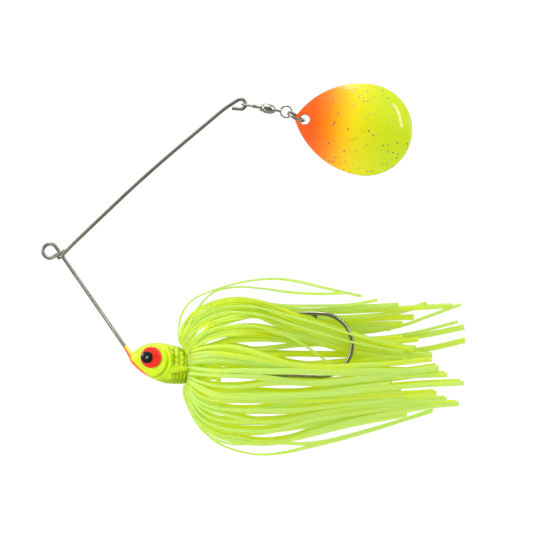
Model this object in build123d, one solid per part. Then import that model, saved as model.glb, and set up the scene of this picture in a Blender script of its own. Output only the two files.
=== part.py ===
from build123d import *

from math import asin, atan2, cos, degrees, hypot, radians, sin, sqrt, tan
import os

# Spinnerbait: one bent spring wire carries a painted lead head with its hook and
# silicone skirt on the lower arm, and a swivel, split ring and blade on the upper arm.
# Millimetres. The origin is the centre of the line-tie loop, where the line is knotted.
# +X runs back from the line tie to the skirt's tips, +Z is up, and the wire lies in XZ.

# ---- Wire frame -----------------------------------------------------------------
WIRE_DIAMETER = 0.9
LINE_TIE_RADIUS = 1.8              # centreline radius of the closed line-tie loop
LINE_TIE_EXIT_ANGLE = 298.7        # where the wire leaves the loop, degrees round it
LOWER_ARM_SLOPE = -55.3            # degrees, pointing from the loop to the head
WRAP_START = 1.75                  # first crossing, measured down the lower arm
WRAP_PITCH = 1.15                  # how far one turn of the wrap moves down the arm
WRAP_RADIUS = 0.97                 # the two centrelines at the wrap, 0.07 mm apart outside
FOOT_BEND = 35.2                   # down the lower arm, the bend cast into the head
FOOT_END = (30.0, -28.2)           # the wire's foot ends above the hook shank
UPPER_ARM_START = (5.74, 1.61)
UPPER_ARM_END = (44.83, 36.59)
UPPER_ARM_BOW = 0.85               # the bow's corner stands this far off the chord
ARM_LOOP_CENTRE = (48.6, 37.45)
ARM_LOOP_RADIUS = 1.25             # centreline radius of the open loop for the swivel
ARM_LOOP_ENTRY = 124.0             # degrees round the loop, where the arm joins it
ARM_LOOP_TURN = 220.0              # degrees that the open loop turns through
ARM_LOOP_TAIL = 2.1

# ---- Head and its collar ----------------------------------------------------------
# Each station of the head: x, centre height, half height, half thickness.
HEAD_STATIONS = (
    (20.7, -27.4, 0.9, 0.7),
    (21.7, -27.5, 1.9, 1.5),
    (23.6, -27.7, 3.4, 2.8),
    (26.4, -28.2, 4.75, 3.8),
    (29.6, -28.8, 5.1, 4.1),
    (32.6, -29.3, 4.85, 3.7),
    (35.2, -29.9, 3.8, 3.1),
)
COLLAR_HEIGHT = -30.6              # height of the collar's axis
COLLAR_RADIUS = 2.3
COLLAR_END = 42.4
KEEPER_FLANGE_RADIUS = 2.7
KEEPER_FLANGE_END = 43.6

# ---- Eyes ---------------------------------------------------------------------------
EYE_CENTRE = (25.86, -27.03)
EYE_RADIUS = 2.7
EYE_SEAT = 2.7                     # the eye's flat back stands this far off the middle
EYE_RIM = 3.45                     # its cylindrical edge ends here
EYE_DOME = 0.75                    # and its dome rises this much more
PUPIL_CENTRE = (24.7, -27.0)
PUPIL_RADIUS = 1.5
PUPIL_SEAT = 3.3
PUPIL_RIM = 3.95
PUPIL_DOME = 0.45

# ---- Hook ---------------------------------------------------------------------------
HOOK_DIAMETER = 1.1
SHANK_START = (24.2, -30.4)        # inside the casting
BEND_CENTRE = (69.0, -24.0)
BEND_RADIUS = 8.0                  # half of the 16 mm gap
POINT_LENGTH = 6.5
POINT_TAPER = 3.4
POINT_RISE = 0.3
BARB_LENGTH = 2.0
BARB_DEPTH = 0.9
BARB_THICKNESS = 0.6
POINT_END = 0.04                   # radius at the very tip

# ---- Swivel: lengths along its axis, measured from the arm loop's centre --------------
SWIVEL_SLOPE = -9.5
EYE_WIRE_DIAMETER = 0.45
EYE_LOOP_RADIUS = 1.45
FRONT_EYE_CENTRE = 1.8
BARREL_START = 4.97
BARREL_LENGTH = 3.95
BARREL_RADIUS = 1.25
BARREL_COLLAR_RADIUS = 0.85
BARREL_COLLAR_LENGTH = 0.8
BARREL_CAVITY_RADIUS = 0.8
BARREL_WALL = 0.6                  # end walls, round each eye's neck
NECK_RADIUS = 0.37
NECK_CLEARANCE = 0.05
NECK_HEAD_RADIUS = 0.65
NECK_HEAD_LENGTH = 0.5
REAR_EYE_CENTRE = 11.76

# ---- Split ring -----------------------------------------------------------------------
RING_SLOPE = -28.0
RING_RADIUS = 2.24
RING_TURNS = 1.9
RING_PITCH = 0.4
RING_COIL_THICKNESS = 0.36         # along the ring's axis
RING_COIL_WIDTH = 0.42             # radially
RING_SEAT = 0.6                    # ring centreline off the rear eye's centre

# ---- Blade: a size 4 Colorado, u runs from its tip ------------------------------------
BLADE_SLOPE = -9.2
BLADE_HALF_WIDTH = 11.75           # also the radius of its round tail
BLADE_WIDEST = 18.4
BLADE_SIDE_RADIUS = 20.5
BLADE_NOSE_RADIUS = 2.2
BLADE_THICKNESS = 0.6
BLADE_HOLE = 2.55                  # hole centre from the tip
BLADE_HOLE_RADIUS = 1.22
BLADE_HOLE_OFFSET = (0.26, 0.38)   # from the ring's centreline to the hole's centre
CUP_CENTRE = 16.0
CUP_LENGTH_RADIUS = 28.0
CUP_RADIUS = 19.3

# ---- Skirt ----------------------------------------------------------------------------
BAND_START = 36.0
BAND_END = 38.2
BAND_RADIUS = 4.2
# Each bundle of strands: stations of x, y, height, half size in y, half size in z.
TOP_BUNDLE = (
    (38.2, 0.0, -27.55, 1.2, 0.45),
    (40.0, 0.0, -20.0, 3.2, 1.5),
    (45.0, 0.0, -14.2, 5.0, 1.6),
    (58.0, 0.0, -12.2, 6.0, 1.5),
    (76.0, 0.0, -12.8, 6.0, 1.5),
    (97.0, 0.0, -17.0, 5.5, 1.8),
)
BOTTOM_BUNDLE = (
    (38.2, 0.0, -33.65, 1.2, 0.45),
    (40.0, 0.0, -41.0, 3.2, 1.5),
    (45.0, 0.0, -47.0, 5.0, 2.0),
    (57.0, 0.0, -49.8, 6.0, 2.0),
    (76.0, 0.0, -45.5, 6.0, 2.0),
    (98.0, 0.0, -40.5, 5.0, 1.8),
)
# The side bundles are given for +Y and mirrored to the other side.
UPPER_SIDE_BUNDLE = (
    (38.2, 2.55, -29.0, 0.45, 0.9),
    (40.0, 6.5, -25.5, 1.4, 2.6),
    (46.0, 9.6, -22.2, 1.6, 4.8),
    (60.0, 10.2, -21.6, 1.8, 5.4),
    (80.0, 8.8, -21.6, 1.8, 5.0),
    (104.0, 6.0, -22.0, 1.8, 4.4),
)
LOWER_SIDE_BUNDLE = (
    (38.2, 2.55, -32.1, 0.45, 0.9),
    (40.0, 6.5, -35.2, 1.4, 2.6),
    (46.0, 9.6, -38.2, 1.6, 4.8),
    (60.0, 10.2, -38.6, 1.8, 5.2),
    (80.0, 8.8, -36.4, 1.8, 4.8),
    (103.0, 6.0, -33.6, 1.8, 4.2),
)

ARC_SHARE = 0.45                   # of the shorter run at each side of a bend


def direction(angle):
    """Unit step in the XZ plane at an angle above +X."""
    return Vector(cos(radians(angle)), 0, sin(radians(angle)))


def point(xz, y=0.0):
    """A 3-D point from a pair in the wire's plane."""
    return Vector(xz[0], y, xz[1])


def bend_radius(before, corner, after):
    """The largest arc that leaves a short straight stretch on each of its runs."""
    run_in = corner - before
    run_out = after - corner
    shorter = min(run_in.length, run_out.length)
    half_turn = radians(run_in.get_angle(run_out)) / 2
    return ARC_SHARE * shorter / tan(half_turn)


def bent_wire(points, diameter):
    """A round wire through straight runs joined by tangent arcs."""
    radii = [bend_radius(*points[i - 1:i + 2]) for i in range(1, len(points) - 1)]
    path = FilletPolyline(*points, radius=radii)
    section = Plane(origin=path @ 0, z_dir=path % 0) * Circle(diameter / 2)
    return sweep(section, path=path)


def on_swivel(distance):
    """A point on the swivel's axis, measured from the arm loop's centre."""
    return point(ARM_LOOP_CENTRE) + direction(SWIVEL_SLOPE) * distance


def place(shape, origin, slope):
    """Turn a shape made along +X to a slope in the XZ plane, and move it to its place."""
    return Pos(*origin) * Rot(0, -slope, 0) * shape


# ---- Wire -------------------------------------------------------------------------------

def loop_corners(centre, radius, entry, turn, count):
    """Corners of a route that goes round a circle, tangent to it at both ends."""
    step = turn / count
    reach = radius / cos(radians(step / 2))
    return [centre + direction(entry + step * (i + 0.5)) * reach for i in range(count)]


def line_tie_corners(arm_top, down_arm, across_arm):
    """Round the line-tie loop, drifting to the front, then once round the lower arm."""
    entry = LOWER_ARM_SLOPE + 90
    turn = LINE_TIE_EXIT_ANGLE - entry
    loop = loop_corners(Vector(0, 0, 0), LINE_TIE_RADIUS, entry, turn, 6)
    drift = WRAP_RADIUS / len(loop)
    corners = [corner - Vector(0, drift * (i + 0.3), 0) for i, corner in enumerate(loop)]
    front = Vector(0, -1, 0)
    wrap_step = 60
    reach = WRAP_RADIUS / cos(radians(wrap_step / 2))
    for angle in range(wrap_step // 2, 360, wrap_step):
        down = WRAP_START + WRAP_PITCH * angle / 360
        around = front * cos(radians(angle)) + across_arm * sin(radians(angle))
        corners.append(arm_top + down_arm * down + around * reach)
    return corners


def make_wire_frame():
    """The whole wire: foot, lower arm, line tie, upper arm and the swivel's open loop."""
    down_arm = direction(LOWER_ARM_SLOPE)
    across_arm = direction(LOWER_ARM_SLOPE + 90)
    arm_top = across_arm * LINE_TIE_RADIUS
    route = [point(FOOT_END), arm_top + down_arm * FOOT_BEND]
    route += line_tie_corners(arm_top, down_arm, across_arm)
    start = point(UPPER_ARM_START, -WRAP_RADIUS)
    end = point(UPPER_ARM_END)
    chord = end - start
    normal = direction(degrees(atan2(chord.Z, chord.X)) + 90)
    route += [start, (start + end) * 0.5 + normal * UPPER_ARM_BOW, end]
    centre = point(ARM_LOOP_CENTRE)
    route += loop_corners(centre, ARM_LOOP_RADIUS, ARM_LOOP_ENTRY, -ARM_LOOP_TURN, 5)
    exit_angle = ARM_LOOP_ENTRY - ARM_LOOP_TURN
    tail_start = centre + direction(exit_angle) * ARM_LOOP_RADIUS
    route.append(tail_start + direction(exit_angle - 90) * ARM_LOOP_TAIL)
    return bent_wire(route, WIRE_DIAMETER)


# ---- Hook -------------------------------------------------------------------------------

def make_hook():
    """Shank, round bend and a tapered point with one barb on its inner side."""
    radius = HOOK_DIAMETER / 2
    start = point(SHANK_START)
    centre = point(BEND_CENTRE)
    reach = centre - start
    shank_slope = degrees(atan2(reach.Z, reach.X) - asin(BEND_RADIUS / reach.length))
    limb_slope = 180 - degrees(atan2(POINT_RISE, POINT_LENGTH))
    touches = (shank_slope, (shank_slope + limb_slope) / 2, limb_slope)
    low, back, top = (centre + direction(angle - 90) * BEND_RADIUS for angle in touches)
    straight = POINT_LENGTH - POINT_TAPER
    limb_end = top + direction(limb_slope) * straight
    path = Line(start, low) + ThreePointArc(low, back, top) + Line(top, limb_end)
    rod = sweep(Plane(origin=path @ 0, z_dir=path % 0) * Circle(radius), path=path)
    taper = Pos(straight + POINT_TAPER / 2, 0, 0) * Rot(0, 90, 0) * Cone(radius, POINT_END, POINT_TAPER)
    barb_outline = make_face(Polyline(
        (straight + 0.6, 0), (straight - BARB_LENGTH, BARB_DEPTH + radius),
        (straight - BARB_LENGTH + 0.5, 0), close=True))
    barb = extrude(Plane.XZ * barb_outline, amount=BARB_THICKNESS / 2, both=True)
    return rod + place(taper, top, limb_slope) + place(barb, top, limb_slope)


# ---- Head and eyes ------------------------------------------------------------------------

def oval(station):
    """One upright oval of a loft, across X."""
    x, y, z, half_y, half_z = station
    across = Plane(origin=(x, y, z), x_dir=(0, 1, 0), z_dir=(1, 0, 0))
    return across * Ellipse(half_y, half_z)


def along_x(radius, start, end, z):
    """A round bar along X."""
    return Pos((start + end) / 2, 0, z) * Rot(0, 90, 0) * Cylinder(radius, end - start)


def make_head_blank():
    """The cast head with the collar behind it that carries the skirt."""
    body = loft([oval((x, 0, z, thick, tall)) for x, z, tall, thick in HEAD_STATIONS])
    x, z, tall, thick = HEAD_STATIONS[0]
    nose = Pos(x, 0, z) * scale(Sphere(1), by=(thick, thick, tall))
    collar = along_x(COLLAR_RADIUS, 33.0, COLLAR_END, COLLAR_HEIGHT)
    flange = along_x(KEEPER_FLANGE_RADIUS, COLLAR_END, KEEPER_FLANGE_END, COLLAR_HEIGHT)
    return body + nose + collar + flange


def domed_disc(centre, radius, seat, rim, dome):
    """A disc facing -Y with a domed front, on the near side of the head."""
    sphere_radius = (radius ** 2 + dome ** 2) / (2 * dome)
    disc = Cylinder(radius, rim - seat, align=(Align.CENTER, Align.CENTER, Align.MIN))
    ball = Pos(0, 0, rim - seat + dome - sphere_radius) * Sphere(sphere_radius)
    column = Cylinder(radius, rim - seat + dome, align=(Align.CENTER, Align.CENTER, Align.MIN))
    domed = disc + (column & ball)
    return Pos(centre[0], -seat, centre[1]) * Rot(90, 0, 0) * domed


def make_eyes():
    """Iris and pupil of one side; the pupil is set into the iris."""
    iris = domed_disc(EYE_CENTRE, EYE_RADIUS, EYE_SEAT, EYE_RIM, EYE_DOME)
    pupil = domed_disc(PUPIL_CENTRE, PUPIL_RADIUS, PUPIL_SEAT, PUPIL_RIM, PUPIL_DOME)
    return iris - pupil, pupil


# ---- Swivel and split ring ------------------------------------------------------------------

def make_swivel_eye(face_on):
    """A wire eye round the origin, with its neck and retained head along +X."""
    ring = Torus(EYE_LOOP_RADIUS, EYE_WIRE_DIAMETER / 2)
    if face_on:
        ring = Rot(90, 0, 0) * ring
    reach = BARREL_START - FRONT_EYE_CENTRE + BARREL_WALL + NECK_HEAD_LENGTH
    neck = along_x(NECK_RADIUS, EYE_LOOP_RADIUS, reach + NECK_HEAD_LENGTH / 2, 0)
    fork = Pos(EYE_LOOP_RADIUS + 0.35, 0, 0) * Rot(0, 90, 0) * Cone(0.5, NECK_RADIUS, 0.9)
    head = along_x(NECK_HEAD_RADIUS, reach, reach + NECK_HEAD_LENGTH, 0)
    return ring + neck + fork + head


def make_barrel():
    """A hollow round-shouldered barrel with a collar at its front, along +X."""
    end = BARREL_LENGTH
    profile = make_face(
        Polyline(
            (0, 0), (0, BARREL_COLLAR_RADIUS), (BARREL_COLLAR_LENGTH, BARREL_COLLAR_RADIUS))
        + ThreePointArc(
            (BARREL_COLLAR_LENGTH, BARREL_COLLAR_RADIUS),
            ((BARREL_COLLAR_LENGTH + end) / 2, BARREL_RADIUS),
            (end, BARREL_COLLAR_RADIUS))
        + Polyline((end, BARREL_COLLAR_RADIUS), (end, 0), (0, 0)))
    body = revolve(profile, axis=Axis.X)
    bore = along_x(NECK_RADIUS + NECK_CLEARANCE, -1, end + 1, 0)
    cavity = along_x(BARREL_CAVITY_RADIUS, BARREL_WALL, end - BARREL_WALL, 0)
    return body - bore - cavity


def make_split_ring():
    """Two flat coils about Z, round the origin."""
    height = RING_TURNS * RING_PITCH
    helix = Pos(0, 0, -height / 2) * Helix(RING_PITCH, height, RING_RADIUS)
    start = Plane(origin=helix @ 0, x_dir=(1, 0, 0), z_dir=helix % 0)
    coil = start * Rectangle(RING_COIL_WIDTH, RING_COIL_THICKNESS)
    return sweep(coil, path=helix, is_frenet=True)


# ---- Blade ---------------------------------------------------------------------------------

def blade_outline():
    """A flat pear shape along +X: round tail, long side arcs and a small round nose."""
    tail_centre = Vector(BLADE_WIDEST, 0)
    side_centre = Vector(BLADE_WIDEST, BLADE_HALF_WIDTH - BLADE_SIDE_RADIUS)
    inner = BLADE_SIDE_RADIUS - BLADE_NOSE_RADIUS
    nose_centre = Vector(BLADE_WIDEST - sqrt(inner ** 2 - side_centre.Y ** 2), 0)
    towards_nose = (nose_centre - side_centre).normalized()
    joint = side_centre + towards_nose * BLADE_SIDE_RADIUS
    middle = side_centre + (towards_nose + Vector(0, 1)).normalized() * BLADE_SIDE_RADIUS
    shoulder = tail_centre + Vector(0, BLADE_HALF_WIDTH)
    tip = nose_centre - Vector(BLADE_NOSE_RADIUS, 0)
    side = ThreePointArc(shoulder, middle, joint)
    nose = ThreePointArc(joint, tip, Vector(joint.X, -joint.Y))
    tail = ThreePointArc(shoulder, tail_centre + Vector(BLADE_HALF_WIDTH, 0),
                         Vector(shoulder.X, -shoulder.Y))
    return make_face(side + nose + mirror(side, about=Plane.XZ) + tail)


def make_blade():
    """The cupped blade, its hole at the origin and its convex face towards -Y."""
    outside = scale(Sphere(1), by=(CUP_LENGTH_RADIUS, CUP_RADIUS, CUP_RADIUS))
    off_centre = (CUP_CENTRE - BLADE_HOLE) / CUP_LENGTH_RADIUS
    rise = CUP_RADIUS * sqrt(1 - off_centre ** 2) - BLADE_THICKNESS / 2
    shell = outside - Pos(0, 0, -BLADE_THICKNESS) * outside
    shell = Pos(CUP_CENTRE, 0, -rise) * shell
    column = Pos(0, 0, -CUP_RADIUS / 2) * extrude(blade_outline(), amount=CUP_RADIUS)
    hole = Pos(BLADE_HOLE, 0, 0) * Cylinder(BLADE_HOLE_RADIUS, CUP_RADIUS)
    return Rot(90, 0, 0) * Pos(-BLADE_HOLE, 0, 0) * ((shell & column) - hole)


# ---- Skirt ---------------------------------------------------------------------------------

def make_band():
    """The rubber band that grips the strands on the head's collar."""
    ring = along_x(BAND_RADIUS, BAND_START, BAND_END, COLLAR_HEIGHT)
    return ring - along_x(COLLAR_RADIUS, BAND_START, BAND_END, COLLAR_HEIGHT)


def make_bundle(stations):
    """The space that one bundle of skirt strands fills."""
    return loft([oval(station) for station in stations], ruled=True)


# ---- Assembly --------------------------------------------------------------------------------

def make_parts():
    """Every named piece, in place."""
    parts = {"wire_frame": make_wire_frame(), "hook": make_hook()}
    iris, pupil = make_eyes()
    far_side = Plane.XZ
    parts["eye_iris_near"] = iris
    parts["eye_pupil_near"] = pupil
    parts["eye_iris_far"] = mirror(iris, about=far_side)
    parts["eye_pupil_far"] = mirror(pupil, about=far_side)
    seat = domed_disc(EYE_CENTRE, EYE_RADIUS, EYE_SEAT, EYE_RIM + 2, EYE_DOME)
    cast_in = [parts["wire_frame"], parts["hook"], seat, mirror(seat, about=far_side)]
    parts["head_casting"] = make_head_blank() - cast_in
    parts["skirt_band"] = make_band()
    parts["skirt_bundle_top"] = make_bundle(TOP_BUNDLE)
    parts["skirt_bundle_bottom"] = make_bundle(BOTTOM_BUNDLE)
    for level, stations in (("upper", UPPER_SIDE_BUNDLE), ("lower", LOWER_SIDE_BUNDLE)):
        bundle = make_bundle(stations)
        parts[f"skirt_bundle_far_{level}"] = bundle
        parts[f"skirt_bundle_near_{level}"] = mirror(bundle, about=far_side)
    parts["swivel_eye_front"] = place(
        make_swivel_eye(face_on=False), on_swivel(FRONT_EYE_CENTRE), SWIVEL_SLOPE)
    parts["swivel_barrel"] = place(make_barrel(), on_swivel(BARREL_START), SWIVEL_SLOPE)
    rear_eye = on_swivel(REAR_EYE_CENTRE)
    parts["swivel_eye_rear"] = place(
        make_swivel_eye(face_on=True), rear_eye, SWIVEL_SLOPE + 180)
    ring_step = direction(RING_SLOPE)
    ring_centre = rear_eye + ring_step * (RING_SEAT + RING_RADIUS)
    parts["split_ring"] = place(make_split_ring(), ring_centre, RING_SLOPE)
    ring_end = ring_centre + ring_step * RING_RADIUS
    parts["blade"] = place(make_blade(), ring_end + point(BLADE_HOLE_OFFSET), BLADE_SLOPE)
    return parts


def main():
    os.makedirs("parts", exist_ok=True)
    for name, shape in make_parts().items():
        export_step(shape, f"parts/{name}.step")


main()
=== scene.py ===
import math
import random
from dataclasses import dataclass

import bmesh
import bpy
import numpy as np
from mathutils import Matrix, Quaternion, Vector


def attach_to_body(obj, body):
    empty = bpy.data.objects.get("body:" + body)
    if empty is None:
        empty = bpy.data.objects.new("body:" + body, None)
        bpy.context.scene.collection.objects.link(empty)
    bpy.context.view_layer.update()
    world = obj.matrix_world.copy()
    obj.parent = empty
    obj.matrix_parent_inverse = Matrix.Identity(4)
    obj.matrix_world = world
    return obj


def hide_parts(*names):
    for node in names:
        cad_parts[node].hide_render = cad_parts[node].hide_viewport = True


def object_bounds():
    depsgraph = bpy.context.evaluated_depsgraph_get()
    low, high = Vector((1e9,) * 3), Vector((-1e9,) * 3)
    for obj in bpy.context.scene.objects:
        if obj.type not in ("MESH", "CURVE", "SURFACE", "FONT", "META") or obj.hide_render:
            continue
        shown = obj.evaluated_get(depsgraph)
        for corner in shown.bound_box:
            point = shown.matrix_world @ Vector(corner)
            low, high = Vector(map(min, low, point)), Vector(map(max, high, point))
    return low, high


MM = 0.001
ACROSS = np.array([0.0, 1.0, 0.0])    # square to the plane the wire is bent in
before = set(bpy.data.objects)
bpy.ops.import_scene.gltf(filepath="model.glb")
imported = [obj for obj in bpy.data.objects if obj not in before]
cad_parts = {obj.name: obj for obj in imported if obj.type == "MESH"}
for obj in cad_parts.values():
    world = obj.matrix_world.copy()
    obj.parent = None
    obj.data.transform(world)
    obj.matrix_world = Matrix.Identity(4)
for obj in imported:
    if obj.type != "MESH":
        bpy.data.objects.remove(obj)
cad_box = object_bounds()


# ---- Helpers ----

def add_object(name, data):
    """A new object in the scene."""
    obj = bpy.data.objects.new(name, data)
    bpy.context.scene.collection.objects.link(obj)
    return obj


def mesh_object(name, verts, faces, materials, face_slots=None, sharp_angle=None):
    """A smooth-shaded mesh object from points in millimetres."""
    mesh = bpy.data.meshes.new(name)
    mesh.from_pydata([tuple(v * MM for v in p) for p in verts], [], faces)
    mesh.validate()
    shell = bmesh.new()
    shell.from_mesh(mesh)
    bmesh.ops.recalc_face_normals(shell, faces=shell.faces)
    shell.to_mesh(mesh)
    shell.free()
    for material in materials:
        mesh.materials.append(material)
    if face_slots is not None:
        mesh.polygons.foreach_set("material_index", face_slots)
    mesh.shade_smooth()
    if sharp_angle is not None:
        mesh.set_sharp_from_angle(angle=math.radians(sharp_angle))
    mesh.update()
    return add_object(name, mesh)


def point_values(obj, name, values):
    """Stores one number for each point of a mesh, for its material to read."""
    layer = obj.data.attributes.new(name, "FLOAT", "POINT")
    layer.data.foreach_set("value", [float(v) for v in values])


def smooth_line(points, per_span):
    """Points on a smooth curve through the given ones (Catmull-Rom)."""
    pts = np.asarray(points, float)
    padded = np.vstack([2 * pts[0] - pts[1], pts, 2 * pts[-1] - pts[-2]])
    samples = []
    for i in range(len(pts) - 1):
        p0, p1, p2, p3 = padded[i:i + 4]
        for t in np.arange(per_span) / per_span:
            samples.append(0.5 * (2 * p1 + (p2 - p0) * t
                                  + (2 * p0 - 5 * p1 + 4 * p2 - p3) * t ** 2
                                  + (3 * p1 - p0 - 3 * p2 + p3) * t ** 3))
    samples.append(pts[-1])
    return np.array(samples)


def circle(around):
    """Angles of evenly spaced points round a circle."""
    return np.linspace(0, 2 * math.pi, around, endpoint=False)


def band_faces(start, rows, around, closed=False):
    """Quads between rows of a closed section, and back to the first row if it is closed."""
    faces = []
    for row in range(rows if closed else rows - 1):
        low = start + row * around
        high = start + (row + 1) % rows * around
        for i in range(around):
            j = (i + 1) % around
            faces.append((low + i, low + j, high + j, high + i))
    return faces


def capped_faces(start, rows, around):
    """Quads between rows of a closed section, and a cap at each end."""
    faces = band_faces(start, rows, around)
    faces.append(tuple(start + i for i in reversed(range(around))))
    faces.append(tuple(start + (rows - 1) * around + i for i in range(around)))
    return faces


def whole_section(half):
    """A closed section from its first half; the second is the same, turned half way round."""
    return half + tuple((-a, -b) for a, b in half)


def smoothstep(low, high, x):
    """0 to 1 from low to high, with soft ends."""
    t = np.clip((x - low) / (high - low), 0, 1)
    return t * t * (3 - 2 * t)


def bump_at(x, centre, width):
    """A bell-shaped bump of height 1."""
    return np.exp(-((x - centre) / width) ** 2)


def unit(vectors):
    """The same vectors, each of length 1."""
    return vectors / np.linalg.norm(vectors, axis=-1, keepdims=True)


# ---- Node helpers ----

def add_node(tree, kind, inputs=None, **settings):
    """Adds a node; each input is set to a value, or linked to another node's socket."""
    node = tree.nodes.new(kind)
    for key, value in settings.items():
        setattr(node, key, value)
    for key, value in (inputs or {}).items():
        if isinstance(value, bpy.types.NodeSocket):
            tree.links.new(value, node.inputs[key])
        else:
            node.inputs[key].default_value = value
    return node


def soft_range(tree, value, low, high, to_low, to_high):
    """Maps low to high onto to_low to to_high, with soft ends."""
    return add_node(tree, "ShaderNodeMapRange", {
        "Value": value, "From Min": low, "From Max": high, "To Min": to_low, "To Max": to_high},
        interpolation_type="SMOOTHSTEP").outputs["Result"]


class Nodes:
    """Builds one material's node tree; sizes in textures are given in millimetres."""

    def __init__(self, name):
        self.material = bpy.data.materials.new(name)
        self.material.use_nodes = True
        self.tree = self.material.node_tree
        self.shader = self.tree.nodes["Principled BSDF"]
        self.output = self.tree.nodes["Material Output"]
        self.place = self.add("ShaderNodeTexCoord").outputs["Object"]

    def add(self, kind, inputs=None, **settings):
        return add_node(self.tree, kind, inputs, **settings)

    def set(self, **values):
        """Sets or links the shader's own sockets, named with underscores."""
        for key, value in values.items():
            socket = self.shader.inputs[key.replace("_", " ")]
            if isinstance(value, bpy.types.NodeSocket):
                self.tree.links.new(value, socket)
            else:
                socket.default_value = value

    def stretched(self, size):
        """Object coordinates in units of size (x, y, z) in millimetres."""
        scale = tuple(1 / (s * MM) for s in size)
        return self.add("ShaderNodeMapping", {"Vector": self.place, "Scale": scale}).outputs[0]

    def noise(self, size, detail=3.0):
        return self.add("ShaderNodeTexNoise", {
            "Vector": self.stretched(size), "Scale": 1.0, "Detail": detail, "Roughness": 0.5}).outputs["Fac"]

    def ramp(self, value, low, high, to_low=0.0, to_high=1.0):
        return soft_range(self.tree, value, low, high, to_low, to_high)

    def vary(self, noise, to_low=0.0, to_high=1.0):
        """Spreads the middle of a noise's values over a range."""
        return self.ramp(noise, 0.3, 0.7, to_low, to_high)

    def math(self, operation, a, b=0.0):
        return self.add("ShaderNodeMath", {0: a, 1: b}, operation=operation).outputs[0]

    def mix(self, factor, a, b):
        """Colour from a to b; a colour mix node's sockets have to be named by number."""
        return self.add("ShaderNodeMix", {"Factor": factor, 6: a, 7: b}, data_type="RGBA").outputs[2]

    def along(self, origin, direction):
        """Distance in millimetres from a point, measured along a direction in object space."""
        offset = self.add("ShaderNodeVectorMath", {
            0: self.place, 1: tuple(v * MM for v in origin)}, operation="SUBTRACT").outputs[0]
        dot = self.add("ShaderNodeVectorMath", {0: offset, 1: direction}, operation="DOT_PRODUCT")
        return self.math("DIVIDE", dot.outputs["Value"], MM)

    def bump(self, height, strength, distance=0.1):
        node = self.add("ShaderNodeBump", {
            "Height": height, "Strength": strength, "Distance": distance * MM})
        self.set(Normal=node.outputs[0])


def srgb(r, g, b):
    """Linear colour, with its alpha, from 8-bit display values."""
    linear = [((c / 255 + 0.055) / 1.055) ** 2.4 if c > 10 else c / 255 / 12.92 for c in (r, g, b)]
    return (*linear, 1.0)


# ---- Materials ----

def make_spring_wire():
    """Drawn stainless wire, slightly stained along its length."""
    n = Nodes("spring_wire")
    stains = n.noise((9, 9, 9), 4)
    grain = n.noise((3, 3, 3), 2)
    n.set(Base_Color=n.mix(n.ramp(stains, 0.35, 0.7), srgb(148, 148, 138), srgb(166, 165, 155)),
          Metallic=1.0, Roughness=n.vary(grain, 0.34, 0.4))
    n.bump(grain, 0.02, 0.02)
    return n.material


def make_nickel(name, dark, light, rough):
    """Nickel plate, clouded by handling, with fine wear in its gloss."""
    n = Nodes(name)
    cloud = n.noise((1.8, 1.8, 1.8), 4)
    fine = n.noise((0.12, 0.12, 0.12), 3)
    n.set(Base_Color=n.mix(cloud, dark, light), Metallic=1.0,
          Roughness=n.vary(fine, rough * 0.8, rough * 1.5))
    n.bump(fine, 0.08, 0.01)
    return n.material


def make_black_nickel():
    """The hook's dark plating, worn lighter in clouds."""
    n = Nodes("black_nickel")
    cloud = n.noise((4, 1.5, 4), 4)
    fine = n.noise((0.2, 0.2, 0.2), 4)
    n.set(Base_Color=n.mix(cloud, srgb(138, 135, 112), srgb(180, 176, 150)), Metallic=1.0,
          Roughness=n.vary(fine, 0.16, 0.3))
    n.bump(fine, 0.1, 0.015)
    return n.material


LEMON = srgb(208, 223, 28)
FLAME = srgb(255, 96, 8)
SHADE_OLIVE = srgb(132, 160, 6)         # painted shade: the colour laid into creases, between ribs and under the head
COLLAR_START = 35.4               # where the head's collar begins, under the skirt

# The wire's lower arm: its start, its direction, and the direction square to it on its upper side.
ARM_START = (1.48, 0.0, 1.025)
ARM_ALONG = (0.5693, 0.0, -0.8221)
ARM_ABOVE = (0.8221, 0.0, 0.5693)


def paint_mask(n, origin, direction, low, high):
    """0 to 1 across a soft sprayed edge, broken up a little by overspray."""
    speckle = n.math("MULTIPLY", n.math("SUBTRACT", n.noise((0.25, 0.25, 0.25), 2), 0.5), 0.5)
    return n.ramp(n.math("ADD", n.along(origin, direction), speckle), low, high)


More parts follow.
